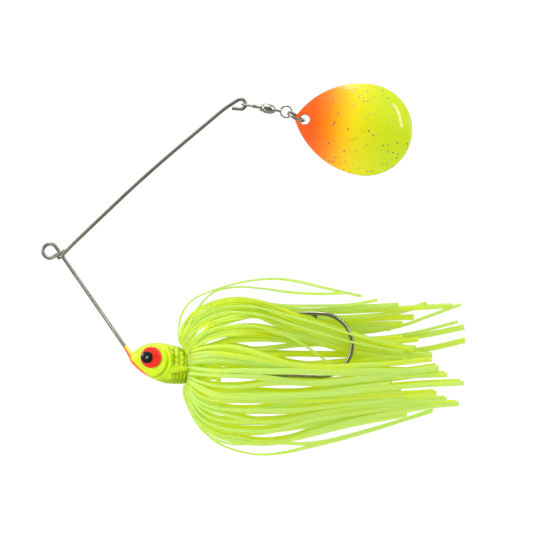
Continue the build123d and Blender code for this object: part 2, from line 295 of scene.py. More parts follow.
def make_head_paint():
    """Chartreuse enamel, more lemon on the back, with flame orange sprayed under the jaw; painted olive
    shade in the creases and underneath, and a paler collar painted to lift the shade under the skirt.
    """
    n = Nodes("head_paint")
    mottle = n.noise((2.2, 2.2, 2.2), 3)
    body = n.mix(n.vary(mottle), srgb(180, 210, 10), srgb(192, 220, 16))
    height = n.ramp(n.along((0, 0, -26.5), (0, 0, 1)), 0.0, 3.0)
    body = n.mix(height, body, LEMON)
    nose = n.ramp(n.along((21.9, 0, -27.0), (-0.93, 0, -0.37)), 0.0, 1.8)
    body = n.mix(nose, body, srgb(248, 190, 30))
    jaw = paint_mask(n, (20.3, 0, -27.35), (-0.678, 0, -0.735), -0.4, 0.3)
    jaw_end = n.ramp(n.along((24.4, 0, 0), (1, 0, 0)), 0.0, 2.6, 1.0, 0.0)
    body = n.mix(n.math("MULTIPLY", jaw, jaw_end), body, FLAME)
    # Painted shade: olive laid into the creases, between the ribs and along the underside.
    painted_shade = n.add("ShaderNodeAttribute", attribute_name="painted_shade").outputs["Fac"]
    body = n.mix(n.math("MULTIPLY", painted_shade, 0.85), body, SHADE_OLIVE)
    # Painted light: the collar, shaded under the skirt, is painted a paler lemon.
    body = n.mix(n.ramp(n.along((COLLAR_START, 0, 0), (1, 0, 0)), 0.0, 0.5), body, srgb(234, 244, 60))
    peel = n.noise((0.45, 0.45, 0.45), 2)
    n.set(Base_Color=body, Roughness=n.vary(mottle, 0.26, 0.38),
          Specular_IOR_Level=0.25, Coat_Weight=0.25, Coat_Roughness=0.12)
    n.bump(peel, 0.1, 0.03)
    return n.material


def make_sleeve_paint():
    """Paint on the wire's foot: flame orange below, lemon above, where the two sprays met."""
    n = Nodes("sleeve_paint")
    side = paint_mask(n, ARM_START, ARM_ABOVE, -0.12, 0.12)
    mottle = n.noise((0.8, 0.8, 0.8), 3)
    lemon = n.mix(n.vary(mottle), srgb(252, 214, 24), srgb(232, 230, 30))
    n.set(Base_Color=n.mix(side, FLAME, lemon), Roughness=n.vary(mottle, 0.28, 0.4),
          Coat_Weight=0.35, Coat_Roughness=0.12)
    n.bump(mottle, 0.1, 0.03)
    return n.material


def make_eye(name, light, dark):
    """Moulded eye, faintly mottled under a clear coat."""
    n = Nodes(name)
    speck = n.noise((0.35, 0.35, 0.35), 3)
    n.set(Base_Color=n.mix(n.vary(speck), light, dark),
          Roughness=n.vary(speck, 0.16, 0.24), Specular_IOR_Level=0.3,
          Coat_Weight=0.6, Coat_Roughness=0.07)
    n.bump(speck, 0.06, 0.02)
    return n.material


def make_silicone():
    """Silicone that lets light through, with a glow that stands for its fluorescence and lifts the shade in
    its folds; painted pale outside, where light comes through, and deeper yellow in the shade within the
    skirt.
    """
    n = Nodes("skirt_silicone")
    # Painted light: how pale each strand is, pale where light comes through it, deep where other strands
    # shade it.
    tone = n.add("ShaderNodeAttribute", attribute_name="tone").outputs["Fac"]
    streak = n.noise((9, 0.4, 0.4), 3)
    drift = n.noise((16, 3, 3), 2)
    tone = n.math("ADD", tone, n.ramp(drift, 0.35, 0.65, -0.2, 0.2))
    colour = n.mix(n.ramp(tone, 0.0, 1.0), srgb(220, 230, 20), srgb(202, 228, 130))
    colour = n.mix(n.ramp(streak, 0.52, 0.78, 0.0, 0.5), colour, srgb(203, 231, 146))
    # The glow stands for the silicone's fluorescence and also fills the shade in the folds: painted light.
    n.set(Base_Color=colour, Roughness=n.vary(streak, 0.4, 0.55),
          Emission_Color=(0.59, 0.65, 0.02, 1.0), Emission_Strength=0.34)
    n.bump(streak, 0.1, 0.03)
    through = n.add("ShaderNodeBsdfTranslucent", {"Color": colour})
    shares = n.add("ShaderNodeMixShader", {0: 0.5, 1: n.shader.outputs[0], 2: through.outputs[0]})
    n.tree.links.new(shares.outputs[0], n.output.inputs["Surface"])
    return n.material


def make_band_rubber():
    """The moulded band that holds the skirt."""
    n = Nodes("band_rubber")
    grain = n.noise((0.3, 0.3, 0.3), 4)
    n.set(Base_Color=n.mix(grain, srgb(186, 214, 20), srgb(204, 232, 40)),
          Roughness=n.vary(grain, 0.4, 0.6))
    n.bump(grain, 0.2, 0.05)
    return n.material


def make_blade_paint():
    """Flame orange at the hole fading to chartreuse, with silver flakes under clear lacquer."""
    n = Nodes("blade_paint")
    across = n.along((69.0, 0, 31.5), (0.995, 0, -0.1))
    mist = n.math("MULTIPLY", n.math("SUBTRACT", n.noise((0.5, 0.5, 0.5), 3), 0.5), 2.0)
    across = n.math("ADD", across, mist)
    orange = n.mix(n.ramp(across, -3.0, 3.6), srgb(253, 92, 10), srgb(254, 140, 8))
    amber = n.mix(n.ramp(across, 1.0, 6.8), orange, srgb(250, 190, 12))
    yellow = n.mix(n.ramp(across, 4.8, 9.8), amber, srgb(228, 218, 14))
    base = n.mix(n.ramp(across, 8.0, 18.0), yellow, srgb(197, 219, 15))
    flakes = n.math("MAXIMUM", glitter(n, 1.25, 0.23, 0.64), glitter(n, 0.95, 0.16, 0.84))
    tint = n.mix(n.noise((0.9, 0.9, 0.9), 1), srgb(112, 98, 90), srgb(206, 192, 190))
    n.set(Base_Color=n.mix(flakes, base, tint), Metallic=n.math("MULTIPLY", flakes, 0.85),
          Roughness=n.ramp(flakes, 0.0, 1.0, 0.42, 0.3), Specular_IOR_Level=0.2,
          Coat_Weight=0.35, Coat_Roughness=0.05)
    n.bump(flakes, 0.15, 0.02)
    return n.material


def glitter(n, spacing, radius, rarity):
    """Mask of small flakes: round spots in random cells of a 3-D lattice."""
    vector = n.stretched((spacing, spacing, spacing))
    cells = n.add("ShaderNodeTexVoronoi", {"Vector": vector, "Scale": 1.0, "Randomness": 1.0})
    chosen = n.math("GREATER_THAN", n.add(
        "ShaderNodeSeparateColor", {"Color": cells.outputs["Color"]}).outputs[0], rarity)
    spot = n.math("LESS_THAN", cells.outputs["Distance"], radius / spacing)
    return n.math("MULTIPLY", spot, chosen)


# ---- Head ----

# Stations from nose to flange: x, top, bottom, half thickness.
HEAD_STATIONS = (
    (20.25, -27.25, -27.75, 0.25), (20.6, -26.55, -28.35, 0.85), (21.2, -25.85, -29.05, 1.4),
    (22.2, -25.0, -30.0, 2.05), (23.6, -24.1, -31.15, 2.85), (25.6, -23.5, -32.3, 3.6),
    (27.6, -23.42, -33.2, 4.0), (29.6, -23.65, -33.75, 4.1), (31.6, -24.1, -33.9, 3.9),
    (33.4, -24.7, -33.9, 3.55), (34.7, -25.6, -33.7, 3.2), (35.25, -26.9, -33.3, 2.9),
    (35.45, -28.1, -33.0, 2.45), (36.2, -28.3, -32.9, 2.3), (39.0, -28.3, -32.9, 2.3),
    (42.1, -28.3, -32.9, 2.3), (42.35, -28.25, -32.95, 2.35), (42.45, -27.95, -33.25, 2.65),
    (42.8, -27.9, -33.3, 2.7), (43.3, -27.9, -33.3, 2.7), (43.55, -28.0, -33.2, 2.6),
    (43.6, -28.3, -32.9, 2.3),
)
HEAD_AROUND = 192
EYE_CENTRE = (25.86, -27.03)
EYE_RADIUS = 2.7
EYE_SEAT = 2.75                   # where the iris starts, inside the head
EYE_RIM = 3.45
EYE_DOME = 0.75
PUPIL_CENTRE = (24.82, -26.97)
PUPIL_RADIUS = 1.57
GILL_CENTRE = (25.8, -27.75)
GILL_RADIUS = 5.0
SCALE_START = (30.9, -29.0)
SCALE_PITCH = 1.3
FOLD_HEIGHT = -30.1
RIB_START = 31.6
RIB_PITCH = 0.92
EYE_BOSS = (3.12, 3.3)            # the paint round the eye stands between these depths


def head_relief(x, z):
    """Height of the cast detail over the smooth head in millimetres, and how much painted shade it gets in
    its creases, between the ribs and underneath.
    """
    radius = np.hypot(x - GILL_CENTRE[0], z - GILL_CENTRE[1])
    angle = np.degrees(np.arctan2(z - GILL_CENTRE[1], x - GILL_CENTRE[0]))

    # The gill plate's raised rim, with a sunken line ahead of it that is painted in shade.
    on_plate = smoothstep(48, 30, angle) * smoothstep(-128, -100, angle)
    rim = on_plate * bump_at(radius, GILL_RADIUS, 0.3)
    ahead = on_plate * bump_at(radius, GILL_RADIUS - 0.62, 0.24)
    relief = 0.55 * rim - 0.36 * ahead
    painted_shade = 0.75 * ahead * smoothstep(20, -35, angle)

    # Behind the plate the surface is lower, and has scales on it, with painted shade between the scales and
    # along a crevice.
    behind = smoothstep(GILL_RADIUS + 0.2, GILL_RADIUS + 0.65, radius) * smoothstep(28.5, 30.2, x)
    behind *= smoothstep(35.5, 34.9, x) * on_plate
    scales = behind * smoothstep(-29.4, -28.9, z) * smoothstep(-23.9, -24.6, z)
    scale_height, scale_painted_shade = scale_relief(x, z)
    crevice = scales * bump_at(radius, GILL_RADIUS + 0.95, 0.3)
    relief += scales * scale_height - 0.28 * behind - 0.2 * crevice
    painted_shade += scales * scale_painted_shade + 0.9 * crevice * (0.5 + 0.5 * np.sin(z * 4.4))

    # A fold runs back from the gill, with a crease under it that is painted in shade.
    flank = smoothstep(30.6, 31.6, x) * smoothstep(35.6, 35.0, x)
    fold = FOLD_HEIGHT + 0.10 * (x - 33)
    under = flank * bump_at(z, fold - 0.8, 0.3)
    relief += 0.42 * flank * bump_at(z, fold, 0.42) - 0.3 * under
    painted_shade += 0.8 * under

    # Below it the throat has upright ribs with painted shade between them, and painted shade darkens the
    # underside.
    ribs = flank * smoothstep(-30.9, -31.3, z)
    wave = np.cos(2 * np.pi * (x - RIB_START - 0.12 * (z + 32)) / RIB_PITCH)
    relief += ribs * (0.26 * wave - 0.08)
    painted_shade += ribs * (0.5 - 0.35 * wave) + 0.9 * smoothstep(-31.8, -33.3, z) * smoothstep(26, 29, x)
    return relief, np.clip(painted_shade, 0, 1)


def scale_relief(x, z):
    """Overlapping half-round scales in staggered columns: their height, and the painted shade in the creases
    between.
    """
    column = np.floor((x - SCALE_START[0]) / SCALE_PITCH)
    along = (x - SCALE_START[0]) / SCALE_PITCH - column
    across = (z - SCALE_START[1]) / SCALE_PITCH + 0.5 * (column % 2)
    off = across - np.floor(across) - 0.5
    edge = np.hypot(along * 0.9, off)
    gap = bump_at(edge, 0.62, 0.12)
    return 0.26 * smoothstep(0.62, 0.50, edge) * (0.3 + along) - 0.22 * gap, 0.75 * gap


def make_head(paint):
    """The cast and painted head, its collar and flange, as one closed mesh."""
    line = smooth_line(HEAD_STATIONS, 10)
    x, top, bottom, half = line.T
    x = np.maximum.accumulate(x)
    verts = []
    painted_shades = []
    turns = circle(HEAD_AROUND)
    side = np.abs(np.cos(turns))
    y_sign = np.sign(np.cos(turns))
    for i in range(len(line)):
        centre = (top[i] + bottom[i]) / 2
        tall = (top[i] - bottom[i]) / 2
        y = half[i] * np.cos(turns)
        z = centre + tall * np.sin(turns)
        relief, painted_shade = head_relief(np.full_like(z, x[i]), z)
        relief *= smoothstep(0.05, 0.5, side)
        eye = np.hypot(x[i] - EYE_CENTRE[0], z - EYE_CENTRE[1])
        boss = smoothstep(EYE_RADIUS + 0.75, EYE_RADIUS + 0.1, eye) * smoothstep(0.2, 0.5, side)
        depth = np.abs(y) + relief
        depth = depth * (1 - boss) + np.clip(depth, *EYE_BOSS) * boss
        verts += [(x[i], s * d, h) for s, d, h in zip(y_sign, depth, z)]
        # Painted shade for the paint to read; none on the eye's boss.
        painted_shades += list(painted_shade * smoothstep(0.05, 0.4, side) * (1 - boss))
    faces = capped_faces(0, len(line), HEAD_AROUND)
    head = mesh_object("lure_head", verts, faces, [paint], sharp_angle=60)
    point_values(head, "painted_shade", painted_shades)
    return head


# The sleeve's sections: distance along the arm, and radius.
SLEEVE_SECTIONS = ((30.8, 0.46), (30.9, 0.5), (31.2, 0.53), (32.0, 0.58), (33.0, 0.68), (33.8, 0.76),
                   (34.4, 0.8))
RAGGED_EDGE = 0.12                # the first two sections waver by this much


def make_sleeve(paint):
    """The coat of paint that runs up the wire a little way out of the head."""
    start, along, above = (np.array(v) for v in (ARM_START, ARM_ALONG, ARM_ABOVE))
    around = 32
    verts = []
    for row, (distance, radius) in enumerate(SLEEVE_SECTIONS):
        for a in circle(around):
            ragged = RAGGED_EDGE * math.sin(3 * a) if row < 2 else 0.0
            spot = start + along * (distance + ragged)
            verts.append(tuple(spot + radius * (above * math.cos(a) + ACROSS * math.sin(a))))
    faces = capped_faces(0, len(SLEEVE_SECTIONS), around)
    return mesh_object("wire_paint_sleeve", verts, faces, [paint])


# ---- Eyes ----

EYE_BALL = (EYE_RADIUS ** 2 + EYE_DOME ** 2) / (2 * EYE_DOME)    # radius of the dome's sphere


def dome_height(off):
    """Depth of the iris's domed face at a distance from its centre."""
    return EYE_RIM + EYE_DOME - EYE_BALL + math.sqrt(EYE_BALL ** 2 - off ** 2)


def make_iris(name, side, material):
    """A disc with a rounded edge and a domed face, on one side of the head."""
    edge = 0.12
    profile = [(EYE_RADIUS, EYE_SEAT), (EYE_RADIUS, EYE_RIM - edge),
               (EYE_RADIUS - 0.3 * edge, EYE_RIM - 0.3 * edge)]
    profile += [(r, dome_height(r)) for r in EYE_RADIUS * np.linspace(0.96, 0.0, 14)]
    around = 72
    verts = []
    for r, y in profile[:-1]:
        for a in circle(around):
            verts.append((EYE_CENTRE[0] + r * math.cos(a), side * y, EYE_CENTRE[1] + r * math.sin(a)))
    rows = len(profile) - 1
    last = (rows - 1) * around
    tip = len(verts)
    verts.append((EYE_CENTRE[0], side * profile[-1][1], EYE_CENTRE[1]))
    faces = band_faces(0, rows, around)
    faces += [(last + k, last + (k + 1) % around, tip) for k in range(around)]
    faces.append(tuple(reversed(range(around))))
    return mesh_object(name, verts, faces, [material], sharp_angle=50)


def make_pupil(name, side, material):
    """A cap on the iris: it follows the iris's dome and swells a little more."""
    around = 64
    inner = np.linspace(0.9, 0.01, 14)
    shares = (1.0, 1.0, 0.985, 0.95, *inner)
    lifts = (-0.25, 0.03, 0.09, 0.14, *(0.13 + 0.14 * (1 - inner ** 2)))
    verts = []
    for share, lift in zip(shares, lifts):
        for a in circle(around):
            x = PUPIL_CENTRE[0] + PUPIL_RADIUS * share * math.cos(a)
            z = PUPIL_CENTRE[1] + PUPIL_RADIUS * share * math.sin(a)
            off = min(math.hypot(x - EYE_CENTRE[0], z - EYE_CENTRE[1]), EYE_RADIUS)
            verts.append((x, side * (dome_height(off) + lift), z))
    faces = capped_faces(0, len(shares), around)
    return mesh_object(name, verts, faces, [material], sharp_angle=50)


# ---- Skirt ----

BAND_HEIGHT = -30.6               # of the axis of the collar and the band
STRAND_WIDTH = 1.25
STRAND_THICKNESS = 0.4
# A strand's section, as shares of its width and thickness.
STRAND_SECTION = whole_section(((0.5, 0.28), (0.43, 0.5), (-0.43, 0.5), (-0.5, 0.28)))
ROWS = 64                         # sections along each strand
EXTRA_CUT = (0.1, 0.28)           # how much shorter the strands between two guides are, as a share
STRAND_ROOT = ((37.6, 3.0), (36.3, 3.1))    # x, and distance from the collar's axis, under the band
FOLD_FORWARD = 0.6                # the folds stand this far ahead of the guides
CLOSE_IN = (47, 60)               # where the tails close in to the hook
SPREAD_FROM = 78                  # where they spread again
SPREAD = 0.06                     # by this much for each millimetre back
TURN_FLAT = (50, 72)              # where the strips turn to face the side
GROW_WIDE = (38, 58)              # where the strips, stretched thin at the band, reach full width
# Outline of the skirt round the collar's height at distances x: above, below and to each side.
SKIRT_X = (33, 34.8, 36, 38, 42, 47, 54, 64, 80, 106)
SKIRT_ABOVE = (11, 13, 15.6, 17.2, 19.2, 20.2, 19.8, 18.4, 18.4, 18)
SKIRT_BELOW = (3, 6.5, 11.4, 15.2, 18.6, 20.6, 21.3, 20, 16, 10.5)
SKIRT_SIDE = (2.6, 3.3, 4.6, 7, 9.6, 11.2, 11.4, 10.4, 8.6, 7)

# Guide strands in side view, from the fold over the band to the tip: x, and distance below the tie.
TOP_LOOPS = (
    ((33.5, 22.8), (32.9, 19.1), (33.8, 15.6), (36.4, 12.4), (41.7, 10), (48.9, 7.9), (56, 7.1), (62, 7.6),
     (69, 9.2), (79.5, 11.5)),
    ((35.4, 22), (36, 18.2), (37.8, 14.4), (41.7, 10.5), (47.2, 9.2), (54, 9.6), (60.3, 10.4),
     (68.3, 10.9), (74.9, 10.8)),
)
TOP_GUIDES = (
    ((34.2, 22.4), (34.3, 18.6), (36.8, 15.4), (41.7, 12.9), (48.9, 11.9), (58, 13.7), (66, 14.1),
     (76, 13.7), (83.5, 12.5)),
    ((34, 22.6), (34.5, 18.9), (37.2, 15.9), (42.4, 13.3), (49.5, 12.5), (58, 14.6), (66, 15.3),
     (74, 14.9), (81, 14.3), (89, 13.9)),
    ((34.6, 22.9), (35.1, 19.4), (38.2, 16.4), (44, 14), (51, 13.6), (60, 15.2), (74, 15.4), (88, 14.8),
     (102.8, 14)),
    ((34.9, 23.1), (35.5, 19.8), (38.8, 17), (45, 14.9), (52, 15), (62, 16.8), (76, 17), (88, 15.8),
     (96.2, 13.3)),
)
TAIL_GUIDES = (
    ((35.1, 23.4), (36, 20.2), (39.2, 17.4), (45.5, 15.5), (52, 14.7), (58, 15.6), (66, 16.9), (76, 17.4),
     (93, 17)),
    ((35.3, 23.8), (36.6, 20.9), (40, 18.5), (46, 16.9), (52, 16), (57, 17.3), (66, 19), (76, 19.8),
     (87, 19.7)),
    ((35.2, 23.6), (36.4, 20.6), (39.8, 18.2), (46, 16.3), (52, 15.4), (57, 16.6), (66, 18.2), (76, 18.9),
     (90.2, 18.8)),
    ((35.7, 25.6), (38.6, 24.7), (43, 23.4), (46, 22.4), (50, 21.9), (54, 22), (62, 22.6), (74, 23.2),
     (86, 23), (96, 21.5), (105.9, 19.4)),
    ((35.8, 25.9), (38.4, 24.9), (42, 24.3), (47, 24.5), (53, 25.6), (58, 26.3), (66, 26.4), (76, 26.6),
     (88, 26.2), (97, 25), (106.2, 22.8)),
)
THIN_TAILS = (
    ((35.4, 24), (37.4, 21.8), (41, 20.2), (46, 19.3), (52, 19.2), (59, 20), (68, 20.8), (80, 21),
     (90, 19.2), (97, 16.6), (104.8, 13.6)),
    ((35.6, 24.6), (38, 22.8), (42, 21), (50, 20.5), (60, 21.6), (72, 22.3), (84, 22.2), (94, 20.8),
     (104.2, 18.2)),
)
UPPER_GUIDES = (
    ((33.9, 22.2), (34.2, 18.7), (36.8, 15.8), (41.7, 13.1), (48.9, 12.2), (56, 13.6), (64, 16.9),
     (73, 19.6), (83, 23), (92.5, 25.6)),
    ((34.6, 23.3), (34.7, 19.9), (37.4, 16.8), (43, 14), (49.5, 13.3), (57, 15.6), (66, 19.2), (76, 22.8),
     (90.2, 26.5)),
    ((35, 23.5), (35.6, 20.4), (38.8, 17.6), (45, 14.9), (51, 14.6), (58, 16.9), (68, 21), (78, 24.2),
     (93.5, 24.9)),
    ((35.4, 23.8), (36.6, 21), (40, 18.6), (46, 16.7), (52, 15.8), (57, 17.2), (65, 20.6), (77, 24.4),
     (97.6, 26.7)),
    ((35.7, 24.3), (37.4, 21.8), (41, 19.6), (46, 17.9), (52, 16.6), (56, 18), (64.5, 21.4), (78, 25.8),
     (96.7, 27.6)),
    ((35.9, 25), (37.8, 22.6), (40.6, 20.6), (45, 19.4), (52.1, 19.1), (59.4, 20.6), (69.2, 23.4),
     (79, 26.2), (91, 27.5)),
    ((36, 25.2), (38.2, 23.8), (41, 22.3), (45.5, 21.1), (53, 20.8), (61, 22), (70, 24), (80, 26.6),
     (93, 27.9)),
)
BEHIND_GUIDES = (
    ((36, 25.2), (38.4, 23.8), (41.4, 22.2), (46, 21.2), (54, 21.4), (64, 22.6), (76, 23), (90, 22)),
    ((36, 25.8), (38.8, 24.8), (43, 23.7), (47, 22.8), (54, 22.6), (62, 23), (74, 23.4), (88, 23.2)),
    ((36, 26.2), (40, 25), (46, 25), (52, 25.15), (57, 24.8), (63, 24.1), (72, 23.7), (84, 23.6),
     (94, 22.6)),
    ((36.1, 26.6), (40, 25.8), (46, 25.9), (52, 26.3), (58, 26.5), (66, 26.4), (76, 26.2), (88, 26),
     (97.6, 26.7)),
    ((36.1, 27.2), (40, 26.4), (47, 26.7), (56, 28.4), (64, 29), (72, 28.6), (80, 27.8), (90, 27)),
)
MIDDLE_GUIDES = (
    ((36, 25.9), (38.2, 24.8), (42, 24.1), (47.5, 24.2), (53.7, 26), (61.2, 28.4), (70, 29.2), (78, 28.9),
     (86, 28.6), (96.9, 27.4)),
    ((36.1, 26.7), (39.4, 25.7), (45.6, 25.9), (54, 27.5), (62, 29), (72, 30), (84, 30.2), (91.2, 30.5)),
    ((36.1, 27.6), (40, 26.9), (47, 27.2), (56, 28.6), (66, 29.8), (77, 30.6), (89.2, 31.75)),
    ((36.2, 28.5), (42.4, 28), (49, 28.4), (57, 29.4), (66, 30.3), (76, 30.9), (88.6, 31.2)),
)
COLLAR_GUIDES = (
    ((36.2, 29.6), (42.4, 30.2), (49, 30.1), (57, 30.3), (66, 30.5), (76, 30.7), (91.2, 30.5)),
    ((36.2, 31), (40, 31.2), (46, 31.4), (52, 31.6), (57, 32.3), (64, 33.3), (72, 33), (84, 31.6),
     (98.7, 29.4)),
)
LINING_GUIDES = (
    ((36.2, 29), (42, 29.2), (50, 29.3), (60, 29.8), (75, 30.4), (90, 31.2)),
    ((36.2, 30.4), (42, 30.8), (50, 31), (60, 30.6), (75, 30.8), (88, 31.6)),
)
BELOW_COLLAR_GUIDES = (
    ((36.1, 31.9), (39.4, 33.4), (44, 34.2), (50, 34.1), (56, 33.3), (62, 33.2), (70, 33.4), (80, 32.5),
     (90, 31.6), (100.9, 31.4)),
    ((36, 32.6), (38.2, 34.6), (42, 35.3), (47, 35.5), (54, 35.8), (60, 36), (66, 35.6), (76, 33.6),
     (88, 32.2), (98.7, 30.9)),
    ((36, 32.9), (38.4, 35), (42.4, 36.5), (49, 36.9), (58, 36.6), (70, 36.2), (82, 34.9), (94, 34),
     (105, 33.4)),
    ((35.9, 33.5), (38, 36.3), (42.4, 37.8), (50, 37.9), (62, 37.8), (74, 37.5), (87, 36.7), (98.2, 36)),
)
LOWER_GUIDES = (
    ((35.8, 33.9), (37.4, 37.4), (41.4, 39.4), (47, 40.1), (54, 40.2), (61, 40.1), (72, 39.1), (82, 38.2),
     (89.5, 37.3)),
    ((35.6, 34), (36.8, 38.4), (40, 41.6), (45, 43), (52, 43.2), (59, 42.8), (67, 41.3), (77, 39.5),
     (89, 38.4), (100.8, 37.6)),
    ((35.4, 34.1), (36, 38.4), (38.6, 42.4), (43.4, 44.7), (49.5, 45.4), (57, 45.2), (65, 43.1),
     (75, 41.4), (88, 39.8), (103.9, 38.7)),
)
LOWER_CROSSINGS = (
    ((35.9, 33.6), (37.8, 36.9), (41.5, 38.6), (46, 39.9), (52, 40.2), (57, 39.4), (62, 38.4), (72, 37.8),
     (84, 37)),
    ((35.7, 33.9), (37, 37.8), (40.2, 40.2), (44, 41), (48, 42.1), (53, 43.1), (60, 43), (68, 41.6),
     (80, 39.8), (92, 38.6)),
    ((35.7, 33.9), (37.2, 37.4), (41, 40), (47, 40.6), (54, 40.5), (61, 40.6), (70, 40.3), (82, 39.2)),
    ((35.5, 34.1), (36.4, 38.2), (39.2, 41.4), (44, 43.3), (49, 43.6), (54, 43.4), (60, 43.3), (68, 42),
     (80, 40.4), (94, 39.4)),
    ((35.4, 34.1), (36.1, 38.2), (38.9, 42), (44, 44.4), (50, 45.4), (56, 45.3), (63, 44.2), (72, 42.6),
     (84, 41.2)),
    ((35.3, 34.2), (35.6, 38.4), (38, 42.6), (42.8, 45.4), (48.5, 46.3), (53, 46.2), (58, 45.5),
     (64, 44.6), (74, 42.6), (88, 40.6)),
)
BOTTOM_GUIDES = (
    ((35.2, 34.2), (35.4, 38), (37.4, 42.4), (42, 45.9), (48, 47.4), (55, 48.3), (62, 47.5), (70, 45.6),
     (80, 43.4), (90.8, 41.4)),
    ((35, 34.4), (34.9, 37.4), (36.4, 41.8), (40.4, 45.9), (46.4, 48.2), (54, 49), (60, 48.2), (67, 45.7),
     (76, 43.2), (88, 40.9), (96, 39.4)),
)
BOTTOM_LOOPS = (
    ((35, 34.4), (34.8, 37.4), (36.2, 41.8), (40.2, 46.6), (45.6, 48.8), (52, 48.8), (59.4, 48.9),
     (65, 49.1), (71, 48.3), (82, 45.4), (97.2, 40.8)),
    ((34.8, 34.4), (34.6, 37.2), (35.9, 41.2), (38.6, 45.2), (44, 49.4), (52.1, 51.7), (59.4, 51.4),
     (66, 49.9), (75.5, 47.5), (87.4, 43.9), (97.7, 40.3)),
)
THIN_CROSSINGS = (
    ((35.2, 23), (35.8, 19.6), (38.8, 16.6), (45, 14.2), (52, 14.2), (60, 16.2), (70, 19), (76.4, 21.1),
     (84, 22.9), (92, 24.4)),
    ((35.4, 23.4), (36.6, 20.2), (40, 17.2), (46, 15.4), (54, 16.4), (63, 19.2), (71, 21.6), (76.7, 23.1),
     (84, 24.6), (90, 25.6)),
    ((35.9, 25.6), (37.4, 22.8), (40.4, 20.2), (46, 18.8), (53, 19.2), (59.6, 21.4), (64, 23.6),
     (67.6, 25.9), (71, 28.4), (76, 30.4), (84, 31.6)),
)


def even_line(drawn, count):
    """Evenly spaced points along the smooth curve through a guide's points."""
    line = smooth_line(drawn, 12)
    lengths = np.concatenate([[0], np.cumsum(np.hypot(*np.diff(line, axis=0).T))])
    share = np.linspace(0, 1, count) * lengths[-1]
    return np.stack([np.interp(share, lengths, line[:, i]) for i in range(2)], axis=1)


@dataclass
class Group:
    """Strands that follow one list of guides: where they lie in depth, and how many there are."""
    guides: tuple
    side: int                       # -1 on the near side, 1 on the far side
    between: int                    # extra strands between two guides
    hook_depth: tuple = None        # the tails close in to this depth, or stay out
    width: tuple = (0.9, 1.05)      # shares of the full strand
    layers: tuple = (0.8, 1.0)      # shares of the skirt's side
    twist: float = 20               # most that a strip turns along its length, in degrees
    wander: float = 0.08            # height of its waves in millimetres
    tone: tuple = (0.0, 1.0)        # painted light: 0 is the deep colour of strands shaded inside the skirt, 1 the pale one of strands lit through


# The groups of strands in each bundle.
SKIRT = {
    "top": (
        Group(TOP_LOOPS, -1, 0, (1.2, 2.6), width=(0.5, 0.55), layers=(0.9, 1.0), twist=12,
              wander=0.05, tone=(0.8, 1.0)),
        Group(TOP_GUIDES[:1], -1, 0, (1.4, 4.0), width=(0.6, 0.65), tone=(0.8, 1.0)),
        Group(TOP_GUIDES[1:], -1, 0, (1.4, 4.0), layers=(0.55, 1.0), tone=(0.7, 1.0)),
        Group(TOP_GUIDES[1:3], 1, 0, tone=(0.4, 0.9)),
    ),
    "near_upper": (
        Group(UPPER_GUIDES[:5], -1, 1, (1.1, 3.4), tone=(0.2, 1.0)),
        Group(UPPER_GUIDES[5:], -1, 1, (1.1, 3.4), width=(1.0, 1.15), tone=(0.3, 1.0)),
        Group(BEHIND_GUIDES, -1, 0, (1.2, 2.2), layers=(0.6, 0.7), tone=(0.1, 0.5)),
        Group(MIDDLE_GUIDES, -1, 1, layers=(0.72, 0.92), tone=(0.45, 1.0)),
        Group(THIN_CROSSINGS, -1, 0, (-1.7, -1.2), width=(0.42, 0.5), layers=(1.0, 1.04), twist=0,
              wander=0.05, tone=(0.8, 1.0)),
    ),
    "near_lower": (
        Group(COLLAR_GUIDES, -1, 0, layers=(0.85, 0.95), width=(1.15, 1.25), tone=(0.7, 1.0)),
        Group(BELOW_COLLAR_GUIDES[:1], -1, 0, tone=(0.6, 1.0)),
        Group(BELOW_COLLAR_GUIDES[1:], -1, 1, layers=(0.75, 1.0), tone=(0.2, 1.0)),
        Group(LOWER_GUIDES, -1, 0, layers=(0.85, 1.0), tone=(0.5, 1.0)),
        Group(LOWER_CROSSINGS, -1, 0, layers=(0.7, 0.9), tone=(0.3, 0.9)),
    ),
    "bottom": (
        Group(BOTTOM_GUIDES, -1, 1, tone=(0.4, 1.0)),
        Group(BOTTOM_LOOPS, -1, 0, (-1.5, -0.5), width=(0.75, 0.8), layers=(1.0, 1.0), twist=30,
              wander=0.05, tone=(0.7, 1.0)),
        Group(BOTTOM_GUIDES, 1, 1, tone=(0.0, 0.5)),
    ),
    "far_upper": (
        Group(TAIL_GUIDES, 1, 0, layers=(0.75, 0.95), width=(1.1, 1.25), tone=(0.2, 1.0)),
        Group(THIN_TAILS, 1, 0, layers=(0.75, 0.95), width=(0.6, 0.7), tone=(0.7, 1.0)),
        Group(UPPER_GUIDES[:5], 1, 0, tone=(0.0, 0.4)),
        Group(UPPER_GUIDES[5:], 1, 1, tone=(0.0, 0.4)),
        Group(BEHIND_GUIDES, 1, 0, tone=(0.0, 0.5)),
        Group(MIDDLE_GUIDES, 1, 1, layers=(0.85, 1.0), tone=(0.0, 0.5)),
    ),
    "far_lower": (
        Group(COLLAR_GUIDES, 1, 0, layers=(0.85, 1.0), tone=(0.0, 0.5)),
        Group(LINING_GUIDES, 1, 0, layers=(0.6, 0.7), tone=(0.0, 0.2)),
        Group(BELOW_COLLAR_GUIDES[:1], 1, 0, tone=(0.0, 0.5)),
        Group(BELOW_COLLAR_GUIDES[1:], 1, 1, tone=(0.0, 0.5)),
        Group(LOWER_GUIDES, 1, 0, tone=(0.0, 0.5)),
        Group(LOWER_CROSSINGS, 1, 0, layers=(0.7, 0.9), tone=(0.0, 0.5)),
    ),
}


